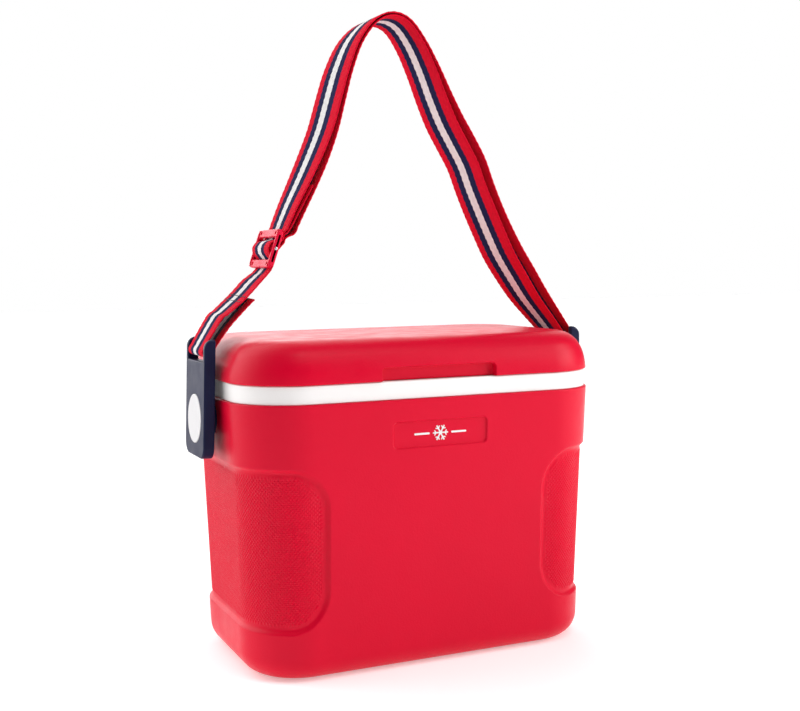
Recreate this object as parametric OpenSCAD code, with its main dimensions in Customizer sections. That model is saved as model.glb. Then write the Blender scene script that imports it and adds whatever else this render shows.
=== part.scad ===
// Hard-sided cooler with a hinged lid and a webbing shoulder strap.
// Millimetres, +Z up, front of the cooler towards -Y.
// Origin: centre of the flat base, where the cooler stands.

/* [Body] */
// Length of the body at its top edge
body_length = 334; // [326:1:342]
// Depth of the body, front to back, at its top edge
body_depth = 201; // [196:1:206]
// Height of the red outer shell
body_height = 228; // [222:1:234]
// Plan radius of the body's vertical corners at the top
body_corner = 56; // [50:1:60]
// How far each side leans in over the height of the shell
body_taper = 8.6; // [6:0.2:10]
// Radius of the edge round the base
foot_radius = 19; // [12:0.5:20]
// Wall of the outer shell between its panels
shell_wall = 5.2; // [5:0.1:6]

/* [End panels] */
// Distance from the middle of the front to the edge of an end panel
panel_start = 98.5; // [95:0.5:105]
// Height of the lower edge of the end panels
panel_low = 41.6; // [36:0.2:48]
// Height of the upper edge of the end panels
panel_high = 176; // [172:1:176]
// Corner radius of the end panels
panel_corner = 34; // [26:1:38]
// Depth of the end panels
panel_depth = 3; // [2:0.1:3]

/* [Rim and badge] */
// Height of the white rim between body and lid
rim_height = 15; // [13:0.5:16]
// How far the rim stands back from the body
rim_step = 2.1; // [1.5:0.1:2.6]
// Length of the badge recess
badge_length = 87; // [80:1:92]
// Height of the badge recess
badge_height = 22.5; // [20:0.5:25]
// Height of the middle of the badge recess
badge_z = 198.2; // [196:0.2:202]
// Depth of the badge recess
badge_depth = 1.6; // [1.2:0.1:2]

/* [Lid] */
// Height of the lid above the rim
lid_height = 34.5; // [33:0.5:36]
// How far the rounded edge of the lid reaches in from its side
lid_round = 30; // [26:1:32]
// Wall of the lid's shell
lid_wall = 2.8; // [2.4:0.1:3.2]
// Depth of the lid's plug below the top of the rim
plug_depth = 12; // [9:0.5:14]
// Length of the finger recess in the front of the lid
finger_length = 105; // [98:1:110]
// Height of the finger recess
finger_height = 11.4; // [10:0.2:13]
// Depth of the finger recess
finger_depth = 7; // [6:0.5:8]

/* [Strap brackets] */
// Height of the pivot above the base
pivot_z = 210.4; // [208:0.2:212]
// Distance from the middle of the cooler to a bracket's outer face
bracket_face = 181; // [180:0.5:182]
// Thickness of a bracket
bracket_thick = 9.4; // [9:0.1:9.6]
// Width of a bracket
bracket_width = 59; // [58:0.5:62]
// Height of a bracket's lower end
bracket_low = 178.6; // [176:0.2:180]
// Height of the top of a bracket's two arms
bracket_high = 278; // [276:0.5:279]
// Radius of the round white cap on the pivot
cap_radius = 20.6; // [19:0.1:21]
// Radius of the pivot's shaft
pivot_r = 6; // [5:0.5:7]

/* [Strap] */
// Width of the webbing
webbing_width = 45; // [40:1:46]
// Thickness of the webbing
webbing_thick = 1.4; // [1.2:0.1:1.5]
// Radius of the steel bar that holds the webbing in a bracket
bar_r = 2.6; // [2.4:0.1:2.8]

/* [Hidden] */
$fn = 64;
eps = 0.01;
gap = 0.2;            // clearance between fitted pieces that don't move
run = 0.05;           // radial running clearance
arc_steps = 9;        // segments in each rounded plan corner

// Body
top_x = body_length / 2;
top_y = body_depth / 2;
lean = body_taper / body_height;
lean_angle = atan(lean);
shell_top = body_height - 0.1;
corner_shrink = 5;    // the plan corner is this much tighter at the base
lip_radius = 1.2;
floor_thick = 5.4;

// Rim and liner
rim_x = top_x - rim_step;
rim_y = top_y - rim_step;
rim_r = body_corner - rim_step;
rim_top = body_height + rim_height;
rim_wall = 14;
liner_wall = 2.4;
liner_floor = 20;
liner_draft = 7.5;    // the tub is this much narrower each side at its floor
liner_low_r = 36;

// Lid
lid_low = rim_top + 0.3;
lid_top = rim_top + lid_height;
lid_proud = 0.2;      // the lid overhangs the body's top edge by this much less
lid_x = top_x - lid_proud;
lid_y = top_y - lid_proud;
lid_r = body_corner;
lid_power = 2.44;     // squareness of the lid's rounded edge
round_start = rim_top - 4.8;
plug_gap = 2;
plug_low = rim_top - plug_depth;

// Hinges
hinge_x = 85;
hinge_y = top_y + 4.7;
hinge_z = rim_top + 0.2;
hinge_width = 50;
knuckle_r = 4.2;
knuckle_half = 8.7;
leaf_thick = 2.2;
leaf_y = top_y + 0.05;
pad_face = top_y;
pin_r = 1.5;
screw_r = 1.4;
screw_head = 3;
screw_spread = 15;
body_screw_z = body_height + 6;
lid_screw_z = rim_top + 11;

// Brackets
bracket_inner = bracket_face - bracket_thick;
arm_thick = 5.4;
notch_z = 259.2;
notch_half = bracket_width / 2 - arm_thick;
bar_x = 176.3;
bar_z = 267;
cap_thick = 2;
cap_proud = 0.4;
washer_r = 15;
washer_in = 167.2;
pin_end = 155.5;
retainer_r = 11;
retainer_thick = 3.6;

// Slider, in its own frame: z along the strap, -x outwards
slider_x = -116.6;
slider_z = 352;
slider_tilt = 19;
slider_width = 54;
slider_height = 34;
slider_thick = 4;
slider_bar = 7;
slider_rail = 3.6;
slider_pin_r = 1.8;

// ---------------------------------------------------------------- plan sections

// Points of a rounded rectangle, half sizes hx and hy, corner radius r, at height z
function ring(hx, hy, r, z) = [
    for (c = [0:3]) for (i = [0:arc_steps])
        let (a = 90 * c + 90 * i / arc_steps,
             sx = (c == 0 || c == 3) ? 1 : -1,
             sy = (c < 2) ? 1 : -1)
        [sx * (hx - r) + r * cos(a), sy * (hy - r) + r * sin(a), z]];

// A closed solid through a list of rings with equal numbers of points
module loft(rings) {
    n = len(rings[0]);
    m = len(rings);
    polyhedron(
        points = [for (q = rings) for (p = q) p],
        faces = concat(
            [[for (i = [0:n - 1]) i]],
            [[for (i = [n - 1:-1:0]) (m - 1) * n + i]],
            [for (k = [0:m - 2]) for (i = [0:n - 1]) let (j = (i + 1) % n)
                [k * n + i, (k + 1) * n + i, (k + 1) * n + j]],
            [for (k = [0:m - 2]) for (i = [0:n - 1]) let (j = (i + 1) % n)
                [k * n + i, (k + 1) * n + j, k * n + j]]));
}

// Section of the body at height z, moved in by inset
function body_ring(z, inset) =
    let (d = lean * (body_height - z) + inset,
         r = body_corner - corner_shrink * (body_height - z) / body_height - inset)
    ring(top_x - d, top_y - d, max(r, 2), z);

// Section with the lid's outline at height z, moved in by inset and laid at height at
function lid_ring(z, inset, at) =
    let (t = max(0, (z - round_start) / (lid_top - round_start)),
         d = lid_round * (1 - pow(1 - pow(t, lid_power), 1 / lid_power)) + inset)
    ring(lid_x - d, lid_y - d, max(lid_r - 0.9 * d, 4), at);

// Section of the liner's tub at height z; grow is added all round
function tub_ring(z, grow) =
    let (k = (z - liner_floor) / (rim_top - liner_floor),
         d = rim_wall + liner_draft * (1 - k) - grow)
    ring(rim_x - d, rim_y - d, liner_low_r + 5 * k + grow, z);

// Block inside the body's sides; edge rounds its bottom edges
module body_block(inset, low, high, edge = 0) {
    turns = edge > 0 ? [0:22.5:67.5] : [];
    loft(concat(
        [for (a = turns) body_ring(low + edge * (1 - cos(a)), inset + edge * (1 - sin(a)))],
        [body_ring(low + edge, inset), body_ring(high, inset)]));
}

// Body with its rounded foot and softened top edge
module body_form() {
    loft(concat(
        [for (a = [0:15:75])
            body_ring(foot_radius * (1 - cos(a)), foot_radius * (1 - sin(a)))],
        [body_ring(foot_radius, 0), body_ring(shell_top - lip_radius, 0),
         body_ring(shell_top, lip_radius)]));
}

// Solid lid from height low up; inset moves its sides in and its top down
module lid_form(inset, low) {
    steps = 9;
    edge = inset == 0 ? 0.8 : 0;
    loft(concat([lid_ring(low, inset + edge, low)],
        [for (k = [0:steps])
            let (u = k == 0 ? 0 : sin(90 * k / steps),
                 z = low + 1 + (lid_top - inset - low - 1) * u)
            lid_ring(z + inset * u, inset, z)]));
}

// Rounded rectangle in the plane, centred, exact
module round_rect(w, h, r) {
    square([w - 2 * r, h], center = true);
    square([w, h - 2 * r], center = true);
    for (sx = [-1, 1]) for (sy = [-1, 1])
        translate([sx * (w / 2 - r), sy * (h / 2 - r)]) circle(r);
}

// Extrude a profile drawn in X and Z along Y, from y0 to y1
module along_y(y0, y1) {
    translate([0, y1, 0]) rotate([90, 0, 0]) linear_extrude(y1 - y0) children();
}

// ---------------------------------------------------------------- body

// Outline of an end panel, in X and Z
module panel_outline() {
    h = panel_high - panel_low;
    translate([panel_start + 100, (panel_low + panel_high) / 2])
        round_rect(200, h, panel_corner);
}

module end_panels() {
    difference() {
        for (s = [0, 1]) mirror([s, 0, 0])
            along_y(-top_y - 10, top_y + 10) panel_outline();
        body_block(panel_depth, panel_low - 5, panel_high + 5);
    }
}

module badge_cut() {
    difference() {
        along_y(-top_y - 10, 0)
            translate([0, badge_z]) round_rect(badge_length, badge_height, 4);
        body_block(badge_depth, badge_z - 20, badge_z + 20);
    }
}

module pivot_bore(r, x0, x1) {
    for (s = [0, 1]) mirror([s, 0, 0])
        translate([x0, 0, pivot_z]) rotate([0, 90, 0]) cylinder(r = r, h = x1 - x0);
}

module outer_shell() color([0.78, 0.03, 0.09]) {
    difference() {
        body_form();
        body_block(shell_wall, floor_thick, body_height + 1, foot_radius - shell_wall);
        end_panels();
        badge_cut();
        pivot_bore(pivot_r + run, 150, 180);
    }
}

module body_foam() color([0.95, 0.88, 0.62]) {
    difference() {
        body_block(shell_wall + gap, floor_thick + gap, body_height - 0.3,
            foot_radius - shell_wall - gap);
        loft([tub_ring(liner_floor - gap, liner_wall + gap),
              tub_ring(rim_top, liner_wall + gap)]);
        pivot_bore(retainer_r + 1, 154.2, 175);
    }
}

module inner_liner() color([0.93, 0.93, 0.92]) {
    screw_hole_y = rim_y - 11;
    difference() {
        union() {
            loft([ring(rim_x - 0.6, rim_y - 0.6, rim_r - 0.6, body_height),
                  ring(rim_x, rim_y, rim_r, body_height + 0.6),
                  ring(rim_x, rim_y, rim_r, rim_top - 1),
                  ring(rim_x - 1, rim_y - 1, rim_r - 1, rim_top)]);
            loft([tub_ring(liner_floor, liner_wall), tub_ring(body_height + 1, liner_wall)]);
        }
        loft([tub_ring(liner_floor + liner_wall, 0), tub_ring(rim_top + 1, 0)]);
        for (x = screw_places())
            translate([x, rim_y + 1, body_screw_z]) rotate([90, 0, 0])
                cylinder(r = screw_r + 0.02, h = 11.5);
    }
}

// A plain six-armed flake with a bar at each side
module badge_emblem() color([0.95, 0.95, 0.95]) {
    y = top_y - lean * (body_height - badge_z) - badge_depth;
    flake = 7;
    translate([0, -y, badge_z]) rotate([90 + lean_angle, 0, 0])
        translate([0, 0, 0.02]) linear_extrude(0.4) {
            circle(1.6);
            for (a = [0:60:300]) rotate(a) {
                translate([0, -0.55]) square([flake, 1.1]);
                for (m = [-1, 1]) translate([flake * 0.58, 0]) rotate(m * 55)
                    translate([0, -0.45]) square([2.6, 0.9]);
            }
            for (s = [-1, 1]) translate([s * 17, 0]) round_rect(14, 1.6, 0.8);
        }
}

// ---------------------------------------------------------------- pivots

// s is -1 for the left end, 1 for the right
module at_end(s) {
    mirror([s < 0 ? 1 : 0, 0, 0]) translate([0, 0, pivot_z]) rotate([0, 90, 0]) children();
}

module pivot_pin(s) color([0.93, 0.93, 0.93]) at_end(s) {
    face = bracket_face + cap_proud;
    translate([0, 0, pin_end]) cylinder(r = pivot_r, h = face - cap_thick - pin_end + eps);
    difference() {
        translate([0, 0, face - cap_thick]) cylinder(r = cap_radius, h = cap_thick);
        translate([0, 0, face - 0.5]) rotate_extrude()
            translate([cap_radius, 0]) polygon([[-0.5, 0.6], [0.1, 0.6], [0.1, 0]]);
    }
}

module pivot_washer(s) color([0.10, 0.12, 0.25]) at_end(s)
    translate([0, 0, washer_in]) difference() {
        cylinder(r = washer_r, h = bracket_inner - 0.3 - washer_in);
        translate([0, 0, -1]) cylinder(r = pivot_r + run, h = 10);
    }

module pivot_retainers() color([0.75, 0.76, 0.78])
    for (s = [-1, 1]) at_end(s) translate([0, 0, pin_end + 1.6]) difference() {
        cylinder(r = retainer_r, h = retainer_thick);
        translate([0, 0, -1]) cylinder(r = pivot_r + 0.02, h = retainer_thick + 2);
    }

// ---------------------------------------------------------------- hinges

function screw_places() = [for (s = [-1, 1]) for (m = [-1, 1])
    s * hinge_x + m * screw_spread];

// Extrude a profile drawn in Y and Z along X, centred on x
module along_x(x, width) {
    translate([x - width / 2, 0, 0]) rotate([90, 0, 90]) linear_extrude(width) children();
}

module knuckle_bore(x) {
    translate([x - 40, hinge_y, hinge_z]) rotate([0, 90, 0])
        cylinder(r = pin_r + run, h = 80);
}

module leaf_holes(x, z) {
    for (m = [-1, 1]) translate([x + m * screw_spread, leaf_y + 6, z]) rotate([90, 0, 0])
        cylinder(r = screw_r + 0.1, h = 14);
}

module hinge_body_leaf(s) color([0.92, 0.92, 0.91]) {
    x = s * hinge_x;
    side = (hinge_width / 2 - knuckle_half - 0.3);
    difference() {
        union() {
            along_x(x, hinge_width) translate([rim_y + 0.05, body_height + 1])
                square([leaf_y + leaf_thick - rim_y - 0.05 - rim_step, rim_height - 2.4]);
            for (m = [-1, 1])
                along_x(x + m * (hinge_width / 2 - side / 2), side) {
                    translate([hinge_y, hinge_z]) circle(knuckle_r);
                    translate([rim_y + 0.05, rim_top - 5]) square([hinge_y - rim_y - 0.05, 4.8]);
                }
        }
        knuckle_bore(x);
        leaf_holes(x, body_screw_z);
    }
}

module hinge_lid_leaf(s) color([0.92, 0.92, 0.91]) {
    x = s * hinge_x;
    difference() {
        union() {
            along_x(x, hinge_width) translate([leaf_y, rim_top + 4.6])
                square([leaf_thick, 12.8]);
            along_x(x, 2 * knuckle_half) {
                translate([hinge_y, hinge_z]) circle(knuckle_r);
                translate([leaf_y, hinge_z + 0.4]) square([hinge_y - leaf_y, 5.4]);
            }
        }
        knuckle_bore(x);
        leaf_holes(x, lid_screw_z);
    }
}

module hinge_pin(s) color([0.75, 0.76, 0.78])
    translate([s * hinge_x - hinge_width / 2 + 0.5, hinge_y, hinge_z]) rotate([0, 90, 0])
        cylinder(r = pin_r, h = hinge_width - 1);

// A screw along -Y whose head rests at y
module screw(x, y, z, length) {
    translate([x, y, z]) rotate([90, 0, 0]) {
        difference() {
            translate([0, 0, -1.3]) cylinder(r = screw_head, h = 1.3);
            translate([0, 0, -1.4]) for (a = [0, 90]) rotate(a)
                translate([-1.6, -0.35, 0]) cube([3.2, 0.7, 0.9]);
        }
        translate([0, 0, -eps]) cylinder(r = screw_r, h = length);
    }
}

module hinge_body_screws() color([0.75, 0.76, 0.78])
    for (x = screw_places()) screw(x, leaf_y + leaf_thick - rim_step + gap / 4, body_screw_z, 11);

module hinge_lid_screws() color([0.75, 0.76, 0.78])
    for (x = screw_places()) screw(x, leaf_y + leaf_thick + gap / 4, lid_screw_z, 9);

// ---------------------------------------------------------------- lid

// Outline of the finger recess, in X and Z, larger by grow on its sides and top
module finger_outline(grow) {
    r = 3.5 + grow;
    half = finger_length / 2 + grow;
    top = lid_low + finger_height + grow;
    translate([-half, lid_low - 3]) square([2 * half, top - r - lid_low + 3]);
    translate([-half + r, lid_low]) square([2 * (half - r), top - lid_low]);
    for (m = [-1, 1]) translate([m * (half - r), top - r]) circle(r);
}

module finger_block(grow) {
    along_y(-lid_y - 5, -lid_y + finger_depth + grow) finger_outline(grow);
}

module hinge_pad(s, grow) {
    translate([s * hinge_x - 27 - grow, pad_face - 9 - grow, lid_low + 2.2 - grow])
        cube([54 + 2 * grow, 9 + grow, 15.4 + 2 * grow]);
}

module lid_shell() color([0.78, 0.03, 0.09]) {
    difference() {
        union() {
            difference() {
                lid_form(0, lid_low);
                lid_form(lid_wall, lid_low - 2);
            }
            intersection() {
                lid_form(0, lid_low);
                finger_block(lid_wall);
            }
            for (s = [-1, 1]) hinge_pad(s, 0);
        }
        finger_block(0);
        for (x = screw_places())
            translate([x, pad_face + 1, lid_screw_z]) rotate([90, 0, 0])
                cylinder(r = screw_r + 0.02, h = 8.5);
    }
}

// Space inside the lid's shell that foam and liner share, smaller by gap
module lid_core(low, high) {
    difference() {
        intersection() {
            lid_form(lid_wall + gap, lid_low - 2);
            translate([-200, -200, low]) cube([400, 400, high - low]);
        }
        finger_block(lid_wall + gap);
        for (s = [-1, 1]) hinge_pad(s, gap);
    }
}

function plug_ring(z, inset) =
    let (k = (z - liner_floor) / (rim_top - liner_floor),
         d = rim_wall + liner_draft * (1 - k) + plug_gap + inset)
    ring(rim_x - d, rim_y - d, liner_low_r + 3 - inset, z);

module lid_liner() color([0.93, 0.93, 0.92]) {
    wall = 2.2;
    difference() {
        union() {
            lid_core(lid_low, lid_low + wall);
            loft([plug_ring(plug_low, 1.5), plug_ring(plug_low + 1.5, 0), plug_ring(lid_low + 1, 0)]);
        }
        loft([plug_ring(plug_low + wall, wall), plug_ring(lid_low + wall + 2, wall)]);
    }
}

module lid_foam() color([0.95, 0.88, 0.62]) {
    wall = 2.2;
    lid_core(lid_low + wall + gap, lid_top);
    loft([plug_ring(plug_low + wall + gap, wall + gap),
          plug_ring(lid_low + wall + gap + 1, wall + gap)]);
}

// ---------------------------------------------------------------- brackets

// Bracket seen from the end, in Y and Z
module bracket_front() {
    half = bracket_width / 2;
    low_r = 11;
    top_r = 3;
    difference() {
        union() {
            translate([-half, bracket_low + low_r])
                square([bracket_width, bracket_high - top_r - bracket_low - low_r]);
            translate([-half + low_r, bracket_low]) square([bracket_width - 2 * low_r, low_r + 1]);
            translate([-half + top_r, bracket_high - top_r - 1])
                square([bracket_width - 2 * top_r, top_r + 1]);
            for (m = [-1, 1]) {
                translate([m * (half - low_r), bracket_low + low_r]) circle(low_r);
                translate([m * (half - top_r), bracket_high - top_r]) circle(top_r);
            }
        }
        translate([-notch_half, notch_z]) square([2 * notch_half, 40]);
    }
}

// Bracket seen from the front, in X and Z, for the right end
module bracket_side() {
    top_r = 7.5;
    low_r = 2.5;
    t = bracket_thick;
    translate([bracket_inner, 0]) {
        translate([0, bracket_low]) square([t - low_r, bracket_high - bracket_low - top_r]);
        translate([0, bracket_low + low_r]) square([t, bracket_high - bracket_low - top_r - low_r]);
        translate([0, bracket_high - top_r - 1]) square([t - top_r, top_r + 1]);
        translate([t - low_r, bracket_low + low_r]) circle(low_r);
        translate([t - top_r, bracket_high - top_r]) intersection() {
            circle(top_r);
            translate([-1.9, 0]) square([20, 20]);
        }
    }
}

module bracket(s) color([0.10, 0.12, 0.25]) mirror([s < 0 ? 1 : 0, 0, 0]) {
    difference() {
        intersection() {
            translate([bracket_inner, 0, 0]) rotate([90, 0, 90])
                linear_extrude(bracket_thick) bracket_front();
            along_y(-bracket_width, bracket_width) bracket_side();
        }
        translate([bracket_inner - 1, 0, pivot_z]) rotate([0, 90, 0])
            cylinder(r = pivot_r + run, h = 20);
        translate([bracket_face + cap_proud - cap_thick - gap, 0, pivot_z]) rotate([0, 90, 0])
            cylinder(r = cap_radius + gap, h = 10);
        translate([bar_x, bracket_width, bar_z]) rotate([90, 0, 0])
            cylinder(r = bar_r + 0.02, h = 2 * bracket_width);
    }
}

module crossbar(s) color([0.75, 0.76, 0.78])
    translate([s * bar_x, bracket_width / 2 - 1, bar_z]) rotate([90, 0, 0])
        cylinder(r = bar_r, h = bracket_width - 2);

// ---------------------------------------------------------------- strap

// Middle line of the strap from the left bracket to the right, with each layer's distance
// outwards from it and the webbing's turn about its length:
// [x, z, outer layer, inner layer, turn of outer, turn of inner]
strap_route = [
    [-161, 291, 4, -5.3, 1, 1], [-143, 311, 0.4, -5.5, 3, 3], [-127, 328, 0, -3, 3, 3],
    [-104, 368, 1.5, -6, 2, 2], [-95, 387, 2, -5.8, 4, 4], [-84, 409, 2, -5, 7, 7],
    [-74, 431, 1.6, -4.5, 9, 9], [-64, 455, 1.5, -3.5, 10, 9], [-56, 481, 1.5, -3, 10, 8],
    [-48, 506, 1.5, -2.5, 9, 7], [-37, 530, 1.5, -2, 6, 5], [-22, 547, 1.3, -1.5, 2, 2],
    [-6, 553, 1.3, -1.3, -2, -2], [9, 548, 1.5, -1.3, -5, -5], [22, 531, 2.2, -1, -7, -8],
    [33, 509, 3.8, -1, -8, -10], [42, 487, 5.6, -1, -9, -11], [52, 465, 7.2, -1, -10, -12],
    [63, 446, 8, -1, -10, -12], [74, 427, 8, -1, -10, -12], [82, 407, 7.6, -1, -11, -12],
    [91, 387, 7.4, -1, -11, -13], [101, 366, 8, -1, -11, -13], [112, 345, 9, -1.2, -11, -13],
    [125, 326, 9, -1.6, -10, -12], [140, 306, 8, -2.2, -8, -9], [158, 287, 5.6, -3.2, -4, -5]];

route_last = len(strap_route) - 1;
layer_steps = 3;

function unit(v) = v / norm(v);

// Point i of the route moved outwards along the route's own normal
function layer_point(i, k) =
    let (a = strap_route[max(i - 1, 0)], b = strap_route[min(i + 1, route_last)],
         t = unit([b[0] - a[0], b[1] - a[1]]), p = strap_route[i])
    [p[0] - t[1] * p[k], p[1] + t[0] * p[k], k == 3 ? -p[5] : p[4]];

// Smooth curve through points a and b, with neighbours p and q
function spline(p, a, b, q, u) =
    a + 0.5 * u * (b - p + u * (2 * p - 5 * a + 4 * b - q + u * (3 * (a - b) + q - p)));

// Points of a layer from route point i0 to i1, in steps
function layer(i0, i1, k) = [
    for (i = [i0:i1 - 1]) for (j = [0:layer_steps - 1])
        spline(layer_point(max(i - 1, i0), k), layer_point(i, k), layer_point(i + 1, k),
            layer_point(min(i + 2, i1), k), j / layer_steps)];

function reversed(v) = [for (i = [len(v) - 1:-1:0]) v[i]];

// Points round a bar at [x, z], from angle a0 to a1
function around(x, z, r, a0, a1, n) = [
    for (i = [0:n]) let (a = a0 + (a1 - a0) * i / n) [x + r * cos(a), z + r * sin(a), 0]];

// A place given in the slider's frame: u along the strap, v outwards
function at_slider(u, v) = [
    slider_x + u * sin(slider_tilt) - v * cos(slider_tilt),
    slider_z + u * cos(slider_tilt) + v * sin(slider_tilt), 0];

wrap_r = bar_r + 0.3 + webbing_thick / 2;
loop_r = slider_pin_r + 0.3 + webbing_thick / 2;

// The whole webbing, one length: sewn fold, left bar, slider, over the top, right bar,
// back along the inner side, round the slider's middle bar, and its sewn end
webbing_path = concat(
    [layer_point(1, 3) + [3.6, 3.2, 0], layer_point(1, 3) + [1.9, 1.7, 0]],
    [layer_point(1, 3), layer_point(0, 3)],
    around(-bar_x, bar_z, wrap_r, -38, -215, 9),
    layer(0, 2, 2),
    [at_slider(-20, -2), at_slider(-15, -3.2), at_slider(-10.4, -3.2), at_slider(-8.6, -2.2),
     at_slider(-7, 0), at_slider(-5.2, 2.4), at_slider(-3, 4.2), at_slider(0, 4.8),
     at_slider(3.6, 4), at_slider(5.6, 2.2), at_slider(7, 0), at_slider(8.6, -2.2),
     at_slider(10.4, -3.2), at_slider(14, -3.2)],
    layer(3, route_last, 2),
    [layer_point(route_last, 2)],
    around(bar_x, bar_z, wrap_r, 38, -142, 9),
    [layer_point(route_last, 3)],
    reversed(layer(3, route_last, 3)),
    [at_slider(12, -7.3), at_slider(8, -6.8), at_slider(3.4, -5)],
    [for (a = [200:25:375]) at_slider(loop_r * sin(a), loop_r * cos(a))],
    [at_slider(2.6, 2.4), at_slider(4.2, 1), at_slider(5.5, -1), at_slider(7.2, -3.4),
     at_slider(9.8, -4.9), at_slider(14, -5.1),
     [-103.4, 367.9, 2], [-93.4, 386.6, 4], [-83, 406.5, 6]]);

// Four corners of the webbing at path point i
function webbing_ring(i) =
    let (n = len(webbing_path) - 1, p = webbing_path[i],
         a = webbing_path[max(i - 1, 0)], b = webbing_path[min(i + 1, n)],
         t = unit([b[0] - a[0], b[1] - a[1]]), out = [-t[1], 0, t[0]],
         side = cos(p[2]) * [0, 1, 0] + sin(p[2]) * out,
         face = cos(p[2]) * out - sin(p[2]) * [0, 1, 0],
         c = [p[0], 0, p[1]], w = side * webbing_width / 2, h = face * webbing_thick / 2)
    [c + w - h, c + w + h, c - w + h, c - w - h];

module strap_webbing() color([0.72, 0.04, 0.10])
    loft([for (i = [0:len(webbing_path) - 1]) webbing_ring(i)]);

module in_slider() {
    translate([slider_x, 0, slider_z]) rotate([0, slider_tilt, 0]) children();
}

// Slider seen square on, in Y and Z
module slider_outline() {
    window = slider_height - 2 * slider_bar;
    difference() {
        round_rect(slider_width, slider_height, 4);
        round_rect(slider_width - 2 * slider_rail, window, 1);
    }
}

module strap_slider() color([0.80, 0.05, 0.12]) in_slider() difference() {
    translate([-slider_thick / 2, 0, 0]) rotate([90, 0, 90])
        linear_extrude(slider_thick) slider_outline();
    translate([0, slider_width, 0]) rotate([90, 0, 0])
        cylinder(r = slider_pin_r + 0.02, h = 2 * slider_width);
    for (m = [-1, 1]) for (k = [-1, 1])
        translate([-slider_thick / 2 - 1, m * 19 - 1.6, k * 13.5 - 1.4]) cube([2.4, 3.2, 2.8]);
}

module slider_bar_pin() color([0.75, 0.76, 0.78]) in_slider()
    translate([0, slider_width / 2 - 0.6, 0]) rotate([90, 0, 0])
        cylinder(r = slider_pin_r, h = slider_width - 1.2);

// ---------------------------------------------------------------- nodes

outer_shell();
body_foam();
inner_liner();
badge_emblem();
pivot_pin(-1);  // left_pivot_pin
pivot_pin(1);  // right_pivot_pin
pivot_washer(-1);  // left_pivot_washer
pivot_washer(1);  // right_pivot_washer
pivot_retainers();
hinge_body_leaf(-1);  // left_hinge_body_leaf
hinge_body_leaf(1);  // right_hinge_body_leaf
hinge_pin(-1);  // left_hinge_pin
hinge_pin(1);  // right_hinge_pin
hinge_body_screws();
lid_shell();
lid_foam();
lid_liner();
hinge_lid_leaf(-1);  // left_hinge_lid_leaf
hinge_lid_leaf(1);  // right_hinge_lid_leaf
hinge_lid_screws();
bracket(-1);  // left_bracket
crossbar(-1);  // left_crossbar
strap_webbing();
strap_slider();
slider_bar_pin();
bracket(1);  // right_bracket
crossbar(1);  // right_crossbar
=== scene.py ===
"""Looks of a hard-sided cooler with a webbing shoulder strap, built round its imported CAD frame.
Shapes are written in millimetres and turned into metres when a mesh is made."""
import math
import bmesh
import bpy
from mathutils import Matrix, Vector
from mathutils.geometry import delaunay_2d_cdt, tessellate_polygon


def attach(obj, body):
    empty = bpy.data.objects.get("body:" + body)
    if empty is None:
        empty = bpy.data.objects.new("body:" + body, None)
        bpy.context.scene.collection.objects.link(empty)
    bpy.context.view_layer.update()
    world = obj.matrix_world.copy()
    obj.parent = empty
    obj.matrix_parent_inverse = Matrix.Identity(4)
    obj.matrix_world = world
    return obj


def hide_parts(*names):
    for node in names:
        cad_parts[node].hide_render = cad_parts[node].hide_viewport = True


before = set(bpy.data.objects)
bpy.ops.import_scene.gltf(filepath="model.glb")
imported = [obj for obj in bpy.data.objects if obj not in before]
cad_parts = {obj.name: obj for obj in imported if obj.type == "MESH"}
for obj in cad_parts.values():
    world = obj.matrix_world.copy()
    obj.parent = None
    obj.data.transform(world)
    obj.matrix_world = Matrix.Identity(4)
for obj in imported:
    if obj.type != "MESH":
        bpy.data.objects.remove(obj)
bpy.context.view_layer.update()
MM = 0.001
QUARTER = math.pi / 2

# ---------------------------------------------------------------- sizes, as in the CAD

BODY_X, BODY_Y, BODY_H, BODY_R = 167.0, 100.5, 228.0, 56.0
LEAN, CORNER_SHRINK = 8.6 / 228, 5.0
SHELL_TOP, LIP_R, FOOT_R, SHELL_WALL, FLOOR_THICK = 227.9, 1.2, 19.0, 5.2, 5.4
PANEL_X, PANEL_LOW, PANEL_HIGH, PANEL_R, PANEL_DEPTH = 98.5, 41.6, 176.0, 34.0, 3.0
BADGE_HALF, BADGE_Z, BADGE_H, BADGE_DEPTH = 43.5, 198.2, 22.5, 1.6
RIM_X, RIM_Y, RIM_R, RIM_TOP, RIM_WALL = 164.9, 98.4, 53.9, 243.0, 14.0
LINER_FLOOR, LINER_WALL, LINER_DRAFT, LINER_LOW_R = 20.0, 2.4, 7.5, 36.0
LID_LOW, LID_TOP, LID_X, LID_Y, LID_R = 243.3, 277.5, 166.8, 100.3, 56.0
LID_ROUND, LID_POWER, ROUND_START, LID_WALL = 30.0, 2.44, 238.2, 2.8
FINGER_HALF, FINGER_TOP, FINGER_DEPTH = 52.5, 254.7, 7.0
PLUG_LOW, PLUG_GAP = 231.0, 2.0
PIVOT_Z, BRACKET_OUT, BRACKET_THICK, BRACKET_HALF = 210.4, 181.0, 9.4, 29.5
BRACKET_LOW, BRACKET_HIGH, NOTCH_Z, ARM = 178.6, 278.0, 259.2, 5.4
CAP_R, CAP_PROUD, CAP_THICK, CAP_GAP, SHAFT_R, PIN_END = 20.6, 0.4, 2.0, 0.35, 6.0, 155.5
PULL_OUT, PULL_TIP = 1.3, math.radians(2)       # what the strap's pull does to the left bracket
BAR_X, BAR_Z, BAR_R = 176.3, 267.0, 2.6
HINGE_X, HINGE_Y, HINGE_Z, KNUCKLE_R, KNUCKLE_HALF, HINGE_HALF = 85.0, 105.2, 243.2, 4.2, 8.7, 25.0
PAD_HALF = 27.0         # half length of the lid's flat pads under the hinges
WEB_W, WEB_T = 45.0, 1.4
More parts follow.
